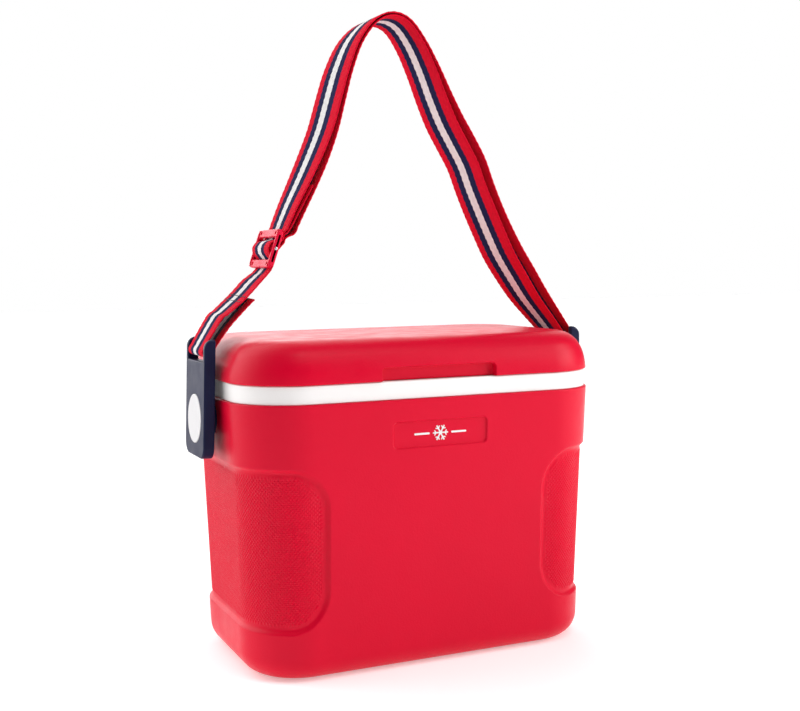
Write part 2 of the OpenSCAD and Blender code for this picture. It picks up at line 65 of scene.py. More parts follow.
SCALLOP, TWILL, YARN = 5.8, 1.45, 0.95          # pitches of the webbing's edge, slanted ribs and yarns
SLIDER_X, SLIDER_Z, SLIDER_TILT = -116.6, 352.0, math.radians(19)
SLIDER_W, SLIDER_H, SLIDER_T, SLIDER_BAR, SLIDER_RAIL, SLIDER_PIN_R = 54.0, 34.0, 4.0, 7.0, 3.6, 1.8
RAIL_T = 5.6            # thickness of the slider's side rails
KNURL, KNURL_HEIGHT = 1.75, 0.5         # from a point of the end panels' knurl to the next hollow
KNURL_MARGIN = 6.0      # from a panel's outline in to its knurl

# ---------------------------------------------------------------- materials


def srgb(r, g, b):
    """A colour given as it looks on screen, 0 to 255, as linear light."""
    return tuple(((c / 255 + 0.055) / 1.055) ** 2.4 for c in (r, g, b)) + (1,)


class Nodes:
    """A node tree and a short way to add to it."""

    def __init__(self, tree):
        self.tree = tree

    def add(self, kind, inputs=(), **settings):
        made = self.tree.nodes.new("ShaderNode" + kind)
        for key, value in settings.items():
            setattr(made, key, value)
        for key, value in dict(inputs).items():
            if isinstance(value, bpy.types.NodeSocket):
                self.tree.links.new(value, made.inputs[key])
            else:
                made.inputs[key].default_value = value
        return made


class Paint(Nodes):
    """A material and short ways to add nodes to it."""

    def __init__(self, name, **values):
        self.material = bpy.data.materials.new(name)
        self.material.use_nodes = True
        super().__init__(self.material.node_tree)
        self.shader = self.tree.nodes["Principled BSDF"]
        for key, value in values.items():
            self.shader.inputs[key.replace("_", " ")].default_value = value

    def link(self, source, socket):
        self.tree.links.new(source, self.shader.inputs[socket])

    def place(self):
        return self.add("TexCoord").outputs["Object"]

    def noise(self, scale, detail, vector):
        return self.add("TexNoise", {"Vector": vector, "Scale": scale, "Detail": detail}).outputs["Fac"]

    def spread(self, value, low, high, start=0.3, end=0.7):
        """value, which runs from start to end, spread from low to high."""
        return self.add("MapRange", {"Value": value, "From Min": start, "From Max": end,
                                     "To Min": low, "To Max": high}).outputs["Result"]

    def mix(self, share, first, second, blend="MIX"):
        return self.add("Mix", {0: share, 6: first, 7: second}, data_type="RGBA",
                        blend_type=blend).outputs[2]

    def maths(self, operation, first, second=0.0):
        return self.add("Math", {0: first, 1: second}, operation=operation).outputs[0]

    def wave(self, value, pitch):
        return self.maths("SINE", self.maths("MULTIPLY", value, 2 * math.pi / (pitch * MM)))

    def bump(self, height, distance, strength=1.0, after=None):
        inputs = {"Height": height, "Distance": distance, "Strength": strength}
        if after is not None:
            inputs["Normal"] = after
        return self.add("Bump", inputs).outputs["Normal"]


def plastic(name, colour, dark, grain, depth, rough, ior):
    """Moulded plastic: a pebbled grain of that pitch and depth in mm, soft patches of colour, worn gloss."""
    paint = Paint(name, IOR=ior)
    place = paint.place()
    patches = paint.noise(9, 3, place)
    paint.link(paint.mix(paint.spread(patches, 0, 1), colour, dark), "Base Color")
    pebbles = paint.add("TexVoronoi", {"Vector": place, "Scale": 1000 / grain, "Smoothness": 0.6},
                        feature="SMOOTH_F1").outputs["Distance"]
    fine = paint.noise(2600 / grain, 2, place)
    normal = paint.bump(fine, depth * 0.4 * MM, 0.6)
    paint.link(paint.bump(pebbles, depth * MM, 1.0, normal), "Normal")
    wear = paint.noise(60, 4, place)
    paint.link(paint.spread(wear, rough - 0.05, rough + 0.06), "Roughness")
    return paint.material


def metal(name):
    paint = Paint(name, Metallic=1.0)
    place = paint.place()
    drawn = paint.add("Mapping", {"Vector": place, "Scale": (40, 3000, 3000)}).outputs["Vector"]
    lines = paint.noise(1.0, 3, drawn)
    tarnish = paint.noise(30, 2, place)
    paint.link(paint.mix(tarnish, (0.62, 0.62, 0.63, 1), (0.46, 0.46, 0.48, 1)), "Base Color")
    paint.link(paint.spread(lines, 0.22, 0.42), "Roughness")
    paint.link(paint.bump(lines, 0.02 * MM, 0.5), "Normal")
    return paint.material


def foam():
    paint = Paint("foam", Roughness=0.9)
    place = paint.place()
    cells = paint.add("TexVoronoi", {"Vector": place, "Scale": 900}).outputs["Distance"]
    paint.link(paint.mix(paint.spread(cells, 0, 1, 0.1, 0.8), (0.62, 0.50, 0.27, 1), (0.86, 0.76, 0.50, 1)),
               "Base Color")
    paint.link(paint.bump(cells, 0.4 * MM), "Normal")
    return paint.material


# Where each stripe starts, as a share of the webbing's width, from the back edge.
STRIPES = ((0.0, "red"), (0.186, "navy"), (0.363, "white"), (0.559, "navy"), (0.739, "red"))
YARNS = {"red": srgb(240, 12, 50), "navy": srgb(34, 38, 82), "white": srgb(255, 254, 252)}


def webbing():
    """Striped twill: stripes across the UV map's first coordinate, yarns along both, in metres."""
    paint = Paint("webbing", Roughness=0.85, Specular_IOR_Level=0.08)
    held = paint.add("UVMap", uv_map="weave").outputs["UV"]
    split = paint.add("SeparateXYZ", {0: held})
    across, along = split.outputs[0], split.outputs[1]
    uneven = paint.maths("MULTIPLY", paint.wave(along, SCALLOP), 0.28 * MM)
    ripple = paint.maths("MULTIPLY", paint.maths("SUBTRACT", paint.noise(700, 1, held), 0.5), 0.5 * MM)
    shifted = paint.maths("ADD", paint.maths("ADD", across, uneven), ripple)
    ramp = paint.add("ValToRGB", {0: paint.maths("DIVIDE", shifted, WEB_W * MM)})
    ramp.color_ramp.interpolation = "CONSTANT"
    stops = ramp.color_ramp.elements
    stops.remove(stops[1])
    stops[0].color = YARNS[STRIPES[0][1]]
    for position, yarn in STRIPES[1:]:
        stops.new(position).color = YARNS[yarn]
    slant = paint.maths("ADD", along, paint.maths("MULTIPLY", across, 0.8))
    cloth = paint.maths("ADD", paint.maths("MULTIPLY", paint.wave(slant, TWILL), 0.6),
                        paint.maths("MULTIPLY", paint.wave(across, YARN), 0.4))
    # Painted shade: each stripe's colour is darkened toward a shaded copy in the twill's grooves, where cloth
    # is low; the worn noise varies how much, at random.
    groove_shade = paint.spread(cloth, 0, 1, -1, 1)
    worn = paint.noise(260, 4, held)
    # dark is the stripe colours' shaded copy for that painted groove shade.
    dark = paint.mix(1.0, ramp.outputs[0], (0.62, 0.60, 0.62, 1), "MULTIPLY")
    paint.link(paint.mix(paint.maths("MULTIPLY", groove_shade, paint.spread(worn, 0.5, 1)), dark, ramp.outputs[0]),
               "Base Color")
    paint.link(paint.bump(cloth, 0.16 * MM, 0.8, paint.bump(worn, 0.1 * MM, 0.5)), "Normal")
    return paint.material


def thread():
    paint = Paint("thread", Roughness=0.7, Sheen_Weight=0.2)
    place = paint.place()
    twist = paint.noise(3500, 2, place)
    paint.link(paint.mix(twist, (0.006, 0.006, 0.012, 1), (0.03, 0.03, 0.05, 1)), "Base Color")
    paint.link(paint.bump(twist, 0.06 * MM), "Normal")
    return paint.material


RED = plastic("red_shell", (0.71, 0.0007, 0.027, 1), (0.67, 0.0006, 0.025, 1), 1.3, 0.09, 0.36, 1.24)
WHITE = plastic("white_liner", (0.93, 0.92, 0.91, 1), (0.90, 0.89, 0.88, 1), 0.9, 0.02, 0.40, 1.4)
NAVY = plastic("navy_plastic", (0.009, 0.012, 0.050, 1), (0.007, 0.009, 0.040, 1), 0.8, 0.04, 0.42, 1.23)
CAP = plastic("white_cap", (0.66, 0.65, 0.66, 1), (0.63, 0.62, 0.63, 1), 0.7, 0.012, 0.36, 1.4)
PRINT = plastic("white_print", (0.88, 0.88, 0.88, 1), (0.82, 0.82, 0.83, 1), 0.6, 0.02, 0.5, 1.35)
HINGE = plastic("white_hinge", (0.80, 0.80, 0.79, 1), (0.75, 0.75, 0.74, 1), 0.8, 0.02, 0.38, 1.4)
SLIDER = plastic("red_slider", (0.80, 0.008, 0.050, 1), (0.74, 0.006, 0.042, 1), 0.9, 0.02, 0.34, 1.22)
STEEL = metal("steel")
FOAM = foam()
WEBBING = webbing()
THREAD = thread()

# ---------------------------------------------------------------- meshes


class Shape:
    """Points and faces of one piece, in millimetres."""

    def __init__(self):
        self.points, self.faces = [], []

    def add(self, points, faces, flip=False):
        first = len(self.points)
        self.points += [tuple(p) for p in points]
        self.faces += [tuple(first + i for i in (reversed(f) if flip else f)) for f in faces]

    def loft(self, rings, start=True, end=True, closed=True):
        n = len(rings[0])
        faces = []
        for k in range(len(rings) - 1):
            for i in range(n if closed else n - 1):
                j = (i + 1) % n
                faces.append((k * n + i, k * n + j, (k + 1) * n + j, (k + 1) * n + i))
        if start:
            faces.append(tuple(range(n))[::-1])
        if end:
            faces.append(tuple((len(rings) - 1) * n + i for i in range(n)))
        self.add([p for ring in rings for p in ring], faces)

    def cap(self, loops, flip=False):
        """A flat face inside the first loop and outside the others."""
        flat = [Vector(p) for loop in loops for p in loop]
        self.add(flat, tessellate_polygon([[Vector(p) for p in loop] for loop in loops]), flip)

    def mirrored(self, axis):
        """This shape and its mirror image across x = 0 or y = 0."""
        both = Shape()
        both.add(self.points, self.faces)
        both.add([tuple(-c if k == axis else c for k, c in enumerate(p)) for p in self.points],
                 self.faces, True)
        return both

    def moved(self, matrix):
        out = Shape()
        out.add([tuple(matrix @ Vector(p)) for p in self.points], self.faces, matrix.determinant() < 0)
        return out

    def join(self, other):
        self.add(other.points, other.faces)
        return self


def placed(name, data):
    made = bpy.data.objects.new(name, data)
    bpy.context.scene.collection.objects.link(made)
    return made


def piece(name, shape, material, body, stands_for=(), sharp=40, even=True, merge=2e-3, crisp=None):
    """Makes the object, with its edges sharper than that many degrees kept crisp, and those above 6 degrees
    where crisp, a function of x and z in mm, says so."""
    mesh = bpy.data.meshes.new(name)
    mesh.from_pydata([(x * MM, y * MM, z * MM) for x, y, z in shape.points], [], shape.faces)
    work = bmesh.new()
    work.from_mesh(mesh)
    bmesh.ops.remove_doubles(work, verts=work.verts, dist=merge * MM)
    bmesh.ops.dissolve_degenerate(work, edges=work.edges, dist=1e-7)
    bmesh.ops.recalc_face_normals(work, faces=work.faces)
    limit = math.radians(sharp)
    for f in work.faces:
        f.smooth = True
    for e in work.edges:
        middle = (e.verts[0].co + e.verts[1].co) / 2 / MM
        fine = crisp and crisp(middle.x, middle.z)
        e.smooth = len(e.link_faces) == 2 and e.calc_face_angle(0) < (math.radians(6) if fine else limit)
    work.to_mesh(mesh)
    work.free()
    made = placed(name, mesh)
    mesh.materials.append(material)
    if even:
        weighted = made.modifiers.new("even_normals", "WEIGHTED_NORMAL")
        weighted.keep_sharp = True
        weighted.weight = 80
    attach(made, body)
    if stands_for:
        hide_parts(*stands_for)
    return made


def arc(cx, cy, r, a0, a1, n):
    """Points on an arc from angle a0 to a1, in degrees."""
    return [(cx + r * math.cos(math.radians(a0 + (a1 - a0) * i / n)),
             cy + r * math.sin(math.radians(a0 + (a1 - a0) * i / n))) for i in range(n + 1)]


def fillet(r, steps):
    """Places on a quarter circle of radius r, each as its distances from the two sides that it joins."""
    return [(r * (1 - math.cos(QUARTER * k / steps)), r * (1 - math.sin(QUARTER * k / steps)))
            for k in range(steps + 1)]


def rounded(corners, n=6):
    """A closed outline through corners (x, y, radius), anticlockwise for an outer one."""
    out = []
    for i, (x, y, r) in enumerate(corners):
        p = Vector((x, y))
        before, after = Vector(corners[i - 1][:2]), Vector(corners[(i + 1) % len(corners)][:2])
        a, b = (before - p).normalized(), (after - p).normalized()
        half = a.angle(b) / 2
        reach = r / math.tan(half)
        centre = p + (a + b).normalized() * (r / math.sin(half))
        start, end = p + a * reach - centre, p + b * reach - centre
        turn = start.angle_signed(end)
        for k in range(n + 1):
            angle = -turn * k / n
            c, s = math.cos(angle), math.sin(angle)
            out.append((centre.x + start.x * c - start.y * s, centre.y + start.x * s + start.y * c))
    return out


def box_outline(x0, x1, y0, y1, r, n=6, hole=False):
    """A rounded rectangle, anticlockwise, or clockwise for a hole."""
    corners = [(x0, y0, r), (x1, y0, r), (x1, y1, r), (x0, y1, r)]
    return rounded(corners[:1] + corners[:0:-1] if hole else corners, n)


def inset(loop, distance):
    """The loop moved to its left by distance: inwards for an anticlockwise one."""
    out = []
    n = len(loop)
    for i, p in enumerate(loop):
        a, b = Vector(loop[i - 1]), Vector(loop[(i + 1) % n])
        p = Vector(p)
        u, v = (p - a).normalized(), (b - p).normalized()
        m, k = Vector((-u.y, u.x)), Vector((-v.y, v.x))
        total = m + k
        out.append(tuple(p + total * (distance / max(0.35, 1 + m.dot(k)))))
    return out


def slab(outer, holes, layers, place, pockets=()):
    """A plate with rounded edges. layers are (height, inset), from its back to its face; place maps
    (u, v, height) to a point; pockets are (outline, depth, edge radius) in its face. The outlines of holes
    and pockets run clockwise."""
    out = Shape()
    loops = [outer] + list(holes)
    made = [[[place(u, v, h) for u, v in inset(loop, d)] for h, d in layers] for loop in loops]
    for rings in made:
        out.loft(rings, False, False)
    out.cap([rings[0] for rings in made], True)
    face_h = layers[-1][0]
    mouths = []
    for loop, depth, edge in pockets:
        rings = [[place(u, v, face_h - drop) for u, v in inset(loop, d)] for drop, d in fillet(edge, 2)]
        rings.append([place(u, v, face_h - depth) for u, v in loop])
        out.loft(rings, False, False)
        out.cap([rings[-1]])
        mouths.append(rings[0])
    out.cap([rings[-1] for rings in made] + mouths)
    return out


def edge_layers(low, high, radius, steps=4):
    """Layers for a slab from low to high with both edges rounded."""
    curve = fillet(radius, steps)
    return [(low + rise, d) for d, rise in reversed(curve)] + [(high - drop, d) for d, drop in curve]


def lathe(profile, n=64):
    """A turned shape about +Z. profile is (radius, height) from the axis to the axis."""
    out = Shape()
    first = []
    for r, z in profile:
        first.append(len(out.points))
        out.points += [(r * math.cos(2 * math.pi * i / n), r * math.sin(2 * math.pi * i / n), z)
                       for i in range(n if r > 0 else 1)]
    for k in range(len(profile) - 1):
        a, b = first[k], first[k + 1]
        for i in range(n):
            j = (i + 1) % n
            if profile[k][0] > 0 and profile[k + 1][0] > 0:
                out.faces.append((a + i, a + j, b + j, b + i))
            elif profile[k][0] > 0:
                out.faces.append((a + i, a + j, b))
            elif profile[k + 1][0] > 0:
                out.faces.append((a, b + j, b + i))
    return out


def rod(tip, n, middle=()):
    """A turned rod, from the profile of its upper end."""
    return lathe([(r, -z) for r, z in reversed(tip)] + list(middle) + tip, n)


# ---------------------------------------------------------------- walls with a rounded-rectangle plan


def plan_point(size, p, depth=0.0, side=-1):
    """A point of the outline at p: 0 at the middle of the front, 1 to 2 round the corner, 3 at the middle
    of the end. size is (half length, half depth, corner radius); depth is measured inwards; side is -1 for
    the front and 1 for the back."""
    hx, hy, r = size
    if p <= 1:
        x, y = p * (hx - r), hy - depth
    elif p < 2:
        a = (p - 1) * QUARTER
        x, y = hx - r + (r - depth) * math.sin(a), hy - r + (r - depth) * math.cos(a)
    else:
        x, y = hx - depth, (hy - r) * (3 - p)
    return x, side * y


def plan_ring(size, z, corner_steps=22, straight=6):
    """The whole outline at height z."""
    ps = ([k / straight for k in range(straight)] + [1 + k / corner_steps for k in range(corner_steps)]
          + [2 + k / straight for k in range(straight + 1)])
    quarter = [plan_point(size, p) for p in ps]
    ring = [(x, y, z) for x, y in quarter]
    ring += [(x, -y, z) for x, y in reversed(quarter[:-1])]
    ring += [(-x, -y, z) for x, y in quarter[1:]]
    return ring + [(-x, y, z) for x, y in reversed(quarter[1:-1])]


class Wall:
    """One quarter of such a wall as a flat sheet of (s, z), where s is the length along its outline."""

    def __init__(self, size_at, reference):
        self.size_at = size_at
        hx, hy, r = size_at(reference)
        self.legs = (hx - r, r * QUARTER, hy - r)
        self.length = sum(self.legs)

    def p_of(self, s):
        for k, leg in enumerate(self.legs):
            if s <= leg or k == 2:
                return k + min(s / leg, 1)
            s -= leg

    def s_of_x(self, x, z):
        hx, _, r = self.size_at(z)
        if x <= hx - r:
            return self.legs[0] * x / (hx - r)
        return self.legs[0] + self.legs[1] * math.asin(min(1, (x - hx + r) / r)) / QUARTER

    def columns(self):
        """Places along s: close together round the corner."""
        out, at = [], 0.0
        for leg, step in zip(self.legs, (9.0, 3.6, 9.0)):
            n = max(1, round(leg / step))
            out += [at + leg * k / n for k in range(n)]
            at += leg
        return out + [at]

    def skin(self, rows, marks, side):
        """Faces of the wall. marks are (loop, clear) pairs: a loop of (s, z, depth) points, and a function
        that says where the plain grid keeps clear of it. rows are the grid's heights. Returns (points, faces,
        low edge, high edge), where the edges are lists of (p, depth)."""
        coordinates, edges, depths = [], [], []
        keep_out = [clear for _, clear in marks if clear]
        for loop, _ in marks:
            first = len(coordinates)
            for s, z, depth in loop:
                coordinates.append((s, z))
                depths.append(depth)
            edges += [(first + i, first + i + 1) for i in range(len(loop) - 1)]
        low, high = rows[0], rows[-1]
        taken_low = [s for (s, z) in coordinates if abs(z - low) < 1e-6]
        for s in self.columns():
            for z in rows:
                if any(inside(s, z) for inside in keep_out):
                    continue
                if z == low and any(abs(s - t) < 0.4 for t in taken_low):
                    continue
                coordinates.append((s, z))
                depths.append(0.0)
        made = delaunay_2d_cdt([Vector(c) for c in coordinates], edges, [], 0, 1e-5, True)
        flat, faces, origin = made[0], made[2], made[3]
        points, bottom, top = [], [], []
        for v, sources in zip(flat, origin):
            depth = depths[sources[0]] if sources else 0.0
            p = self.p_of(v.x)
            value = depth(v.y) if callable(depth) else depth
            x, y = plan_point(self.size_at(v.y), p, value, side)
            points.append((x, y, v.y))
            if abs(v.y - low) < 1e-4:
                bottom.append((p, depth))
            if abs(v.y - high) < 1e-4:
                top.append((p, depth))
        bottom.sort(key=lambda b: b[0])
        top.sort(key=lambda b: b[0])
        return points, faces, bottom, top


# The end panel's stepped edge: (distance in from its outline, depth).
STEP_PROFILE = ((-1.5, 0.0), (-0.9, 0.06), (-0.3, 0.28), (0.3, 0.72), (0.9, 1.3), (1.5, 1.9), (2.1, 2.42),
                (2.8, 2.8), (3.6, 2.97), (4.6, 3.0))


def line(a, b, step):
    """Points from a up to, but not at, b, no further apart than step."""
    n = max(1, math.ceil(math.hypot(b[0] - a[0], b[1] - a[1]) / step))
    return [(a[0] + (b[0] - a[0]) * k / n, a[1] + (b[1] - a[1]) * k / n) for k in range(n)]


def in_panel(wall, s, z, margin):
    """True if the place is in an end panel, margin inside its outline."""
    s0 = wall.s_of_x(PANEL_X, z) + margin
    low, high = PANEL_LOW + margin, PANEL_HIGH - margin
    if s < s0 or z < low or z > high:
        return False
    r = max(PANEL_R - margin, 1)
    ds, dz = s0 + r - s, max(low + r - z, z - high + r)
    return not (ds > 0 and dz > 0 and math.hypot(ds, dz) > r)


def end_panel(wall):
    """Loops of the panel's stepped edge and the points of its knurl."""
    marks = []
    end = wall.length
    for offset, depth in STEP_PROFILE:
        low, high, r = PANEL_LOW + offset, PANEL_HIGH - offset, PANEL_R - offset
        path = []
        for z_mid, a0, a1 in ((low + r, 270, 180), (high - r, 180, 90)):
            for a in range(19):
                angle = math.radians(a0 + (a1 - a0) * a / 18)
                z = z_mid + r * math.sin(angle)
                path.append((wall.s_of_x(PANEL_X, z) + offset + r + r * math.cos(angle), z))
        level = line((end, low), path[0], 3.4)
        side_run = line(path[18], path[19], 3.4)
        last = line(path[-1], (end, high), 3.4) + [(end, high)]
        loop = level + path[:18] + side_run + path[19:-1] + last
        marks.append(([(s, z, depth) for s, z in loop], None))
    marks.append(([], lambda s, z: in_panel(wall, s, z, -5.0)))
    middle = (PANEL_LOW + PANEL_HIGH) / 2
    count = int((end - PANEL_X + 20) / KNURL)
    rows = int((PANEL_HIGH - PANEL_LOW) / 2 / KNURL) + 1
    valid = {}
    for i in range(count + 1):
        for j in range(-rows, rows + 1):
            s, z = end - i * KNURL, middle + j * KNURL
            if in_panel(wall, s, z, KNURL_MARGIN):
                valid[i, j] = (s, z, PANEL_DEPTH - (KNURL_HEIGHT if (i + j) % 2 == 0 else 0.0))
    # Hollows are joined along both slants, so that each cell keeps a ridged pyramid.
    for (i, j), mark in valid.items():
        slants = [valid.get((i + 1, j + 1)), valid.get((i + 1, j - 1))] if (i + j) % 2 else []
        marks += [([mark, other], None) for other in slants if other] or [([mark], None)]
    return marks


def half_recess(wall, half, low, high, r, profile, open_low=False):
    """Loops of a rounded-rectangle feature centred on x = 0. profile is (inset, depth) pairs; a depth may be
    a function of z."""
    marks = []
    for offset, depth in profile:
        h, z0, z1 = half - offset, low + offset, high - offset
        rr = max(r - offset, 0.3)
        top = line((0, z1), (h - rr, z1), 4.0)
        curve = arc(h - rr, z1 - rr, rr, 90, 0, 8)
        if open_low:
            rest = line(curve[-1], (h, low), 3.0)[1:] + [(h, low)]
            if offset == profile[-1][0]:
                rest += line((h, low), (0, low), 4.0)[1:] + [(0, low)]
        else:
            curve2 = arc(h - rr, z0 + rr, rr, 0, -90, 8)
            rest = line(curve[-1], curve2[0], 3.0)[1:] + curve2[:-1]
            rest += line(curve2[-1], (0, z0), 4.0) + [(0, z0)]
        marks.append(([(wall.s_of_x(x, z), z, depth) for x, z in top + curve + rest], None))
    margin = -profile[0][0] + 1.5
    marks.append(([], lambda s, z: s < wall.s_of_x(half + margin, z) and low - margin < z < high + margin))
    return marks


def block_mark(wall, x0, x1, low, high, r, profile):
    """Loops of a closed rounded-rectangle feature between x0 and x1."""
    marks = []
    for offset, depth in profile:
        loop = box_outline(x0 + offset, x1 - offset, low + offset, high - offset, max(r - offset, 0.3), 5)
        path = []
        for i, p in enumerate(loop):
            path += line(p, loop[(i + 1) % len(loop)], 4.0)
        path.append(path[0])
        marks.append(([(wall.s_of_x(x, z), z, depth) for x, z in path], None))
    m = -profile[0][0] + 1.5
    marks.append(([], lambda s, z: (wall.s_of_x(x0 - m, z) < s < wall.s_of_x(x1 + m, z)
                                    and low - m < z < high + m)))
    return marks


# ---------------------------------------------------------------- body


def body_size(z, d=0.0):
    t = LEAN * (BODY_H - z) + d
    return BODY_X - t, BODY_Y - t, max(BODY_R - CORNER_SHRINK * (BODY_H - z) / BODY_H - d, 2)


def rows_between(low, high, step):
    n = max(1, round((high - low) / step))
    return [low + (high - low) * k / n for k in range(n + 1)]


def outer_shell():
    wall = Wall(body_size, BODY_H)
    rows = rows_between(FOOT_R, SHELL_TOP - LIP_R, 9)
    panel = end_panel(wall)
    edge_profile = ((-0.5, 0.0), (-0.1, 0.12), (0.2, 0.5), (0.45, 1.0), (0.75, 1.42), (1.2, BADGE_DEPTH))
    badge = half_recess(wall, BADGE_HALF, BADGE_Z - BADGE_H / 2, BADGE_Z + BADGE_H / 2, 4, edge_profile)
    whole = Shape()
    for side, marks in ((-1, panel + badge), (1, panel)):
        points, faces, low, high = wall.skin(rows, marks, side)
        quarter = Shape()
        quarter.add(points, faces)

        def edge(ps, z, d):
            return [plan_point(body_size(z, d), p, 0, side) + (z,) for p, _ in ps]

        foot = [edge(low, z, d) for d, z in fillet(FOOT_R, 12)]
        quarter.loft(foot, False, False, False)
        lip = [edge(high, SHELL_TOP - drop, d) for d, drop in fillet(LIP_R, 3)]
        lip += [edge(high, SHELL_TOP, SHELL_WALL)]
        lip += [edge(high, FLOOR_THICK + rise, SHELL_WALL + d) for d, rise in fillet(FOOT_R - SHELL_WALL, 6)]
        quarter.loft(lip, False, False, False)
        for ring in (foot[-1], lip[-1]):
            quarter.add(ring + [(0, 0, ring[0][2])], [(i, i + 1, len(ring)) for i in range(len(ring) - 1)])
        whole.join(quarter.mirrored(0))
    return piece("shell", whole, RED, "cooler_body", ["outer_shell"], sharp=62,
                 crisp=lambda x, z: in_panel(wall, wall.s_of_x(abs(x), z), z, KNURL_MARGIN - 0.4))


def tub_size(z, grow=0.0):
    k = (z - LINER_FLOOR) / (RIM_TOP - LINER_FLOOR)
    d = RIM_WALL + LINER_DRAFT * (1 - k) - grow
    return RIM_X - d, RIM_Y - d, LINER_LOW_R + 5 * k + grow


def shrunk(size, d):
    return size[0] - d, size[1] - d, max(size[2] - d, 1)


def inner_liner():
    """The tub, from the middle of its floor up its inside, over the rim and down its outside."""
    low = LINER_FLOOR + LINER_WALL
    inner_r, lip_r, edge_r, under_r, outer_r = 14.0, 2.5, 1.0, 0.6, 16
    rim = (RIM_X, RIM_Y, RIM_R)
    rings = [(shrunk(tub_size(low), inward), low) for inward in (90, 60, 34)]
    rings += [(shrunk(tub_size(low + rise), d), low + rise) for rise, d in fillet(inner_r, 6)]
    rings += [(tub_size(z), z) for z in rows_between(low + inner_r + 10, RIM_TOP - lip_r - 8, 30)]
    rings += [(tub_size(RIM_TOP - drop, d), RIM_TOP - drop) for d, drop in fillet(lip_r, 6)]
    rings += [(shrunk(rim, d), RIM_TOP - drop) for drop, d in fillet(edge_r, 3)]
    rings += [(shrunk(rim, d), BODY_H + rise) for d, rise in fillet(under_r, 3)]
    rings += [(tub_size(z, LINER_WALL), z) for z in (BODY_H, 130, LINER_FLOOR + outer_r)]
    rings += [(shrunk(tub_size(LINER_FLOOR + rise, LINER_WALL), d), LINER_FLOOR + rise)
              for d, rise in fillet(outer_r, 6)]
    out = Shape()
    out.loft([plan_ring(size, z) for size, z in rings])
    return piece("liner", out, WHITE, "cooler_body", ["inner_liner"], sharp=50)


# ---------------------------------------------------------------- lid


def lid_drop(z):
    """How far the lid's rounded edge stands in from its side at height z."""
    t = min(1, max(0, (z - ROUND_START) / (LID_TOP - ROUND_START)))
    return LID_ROUND * (1 - (1 - t ** LID_POWER) ** (1 / LID_POWER))


def lid_size(z, wall=0.0):
    d = lid_drop(z)
    return LID_X - d - wall, LID_Y - d - wall, max(LID_R - 0.9 * d - wall, 4)


def lid_skin(wall_thick, top, grow, edge):
    """The lid's outer or inner surface, open at the bottom. Returns the shape and its lower edge loop."""
    def size(z):
        return lid_size(z + wall_thick, wall_thick) if wall_thick else lid_size(z)

    start = LID_LOW + edge
    sheet_top = 266.0 - wall_thick
    wall = Wall(size, start)
    rows = rows_between(start, sheet_top, 4)

    def sunk(share):
        return lambda z: share * (FINGER_DEPTH + grow - (LID_Y - size(z)[1]))

    finger_profile = ((-0.35, 0.0), (-0.05, sunk(0.02)), (0.15, sunk(0.09)), (0.3, sunk(0.3)),
                      (0.42, sunk(0.7)), (0.6, sunk(0.93)), (1.0, sunk(1.0)))
    finger = half_recess(wall, FINGER_HALF + grow, start, FINGER_TOP + grow, 3.5 + grow, finger_profile,
                         True)

    def raised(share):
        return lambda z: -share * (BODY_Y - wall_thick - size(z)[1])

    pad_profile = ((-0.7, 0.0), (-0.35, raised(0.12)), (0.0, raised(0.5)), (0.3, raised(0.86)),
                   (0.8, raised(1.0)))
    pad = block_mark(wall, HINGE_X - PAD_HALF + wall_thick, HINGE_X + PAD_HALF - wall_thick,
                     LID_LOW + 2.2 + wall_thick, LID_LOW + 17.6 - wall_thick, 2.5, pad_profile)
    half = Shape()
    loops = []
    for side, marks in ((-1, finger), (1, pad)):
        points, faces, low, high = wall.skin(rows, marks, side)
        half.add(points, faces)
        steps = 14
        rings = []
        a0 = math.asin((sheet_top - start) / (top - start))
        for k in range(steps + 1):
            z = start + (top - start) * math.sin(a0 + (QUARTER - a0) * k / steps)
            rings.append([plan_point(size(z), p, 0, side) + (z,) for p, _ in high])
        rings += [[(x * share, y * share, top) for x, y, _ in rings[-1]] for share in (0.65, 0.4, 0.2)]
        half.loft(rings, False, False, False)
        ring = rings[-1]
        half.add(ring + [(0, 0, top)], [(i, i + 1, len(ring)) for i in range(len(ring) - 1)])
        under = []
        for inward, rise in fillet(edge, 3) if edge else [(0, 0)]:
            under.append([plan_point(size(start), p, (d(start) if callable(d) else d) + inward, side)
                          + (LID_LOW + rise,) for p, d in low])
        if edge:
            half.loft(under, False, False, False)
        loops.append(under[-1])
    front, back = loops
    right = front + list(reversed(back))[1:]
    left = [(-x, y, z) for x, y, z in reversed(right)][1:-1]
    return half.mirrored(0), right + left


def lid_shell():
    outer, outer_loop = lid_skin(0.0, LID_TOP, 0.0, 1.0)
    inner, inner_loop = lid_skin(LID_WALL, LID_TOP - LID_WALL, LID_WALL, 0.0)
    out = outer.join(inner)
    out.cap([outer_loop, inner_loop], True)
    return piece("lid_cover", out, RED, "lid", ["lid_shell"], sharp=60)


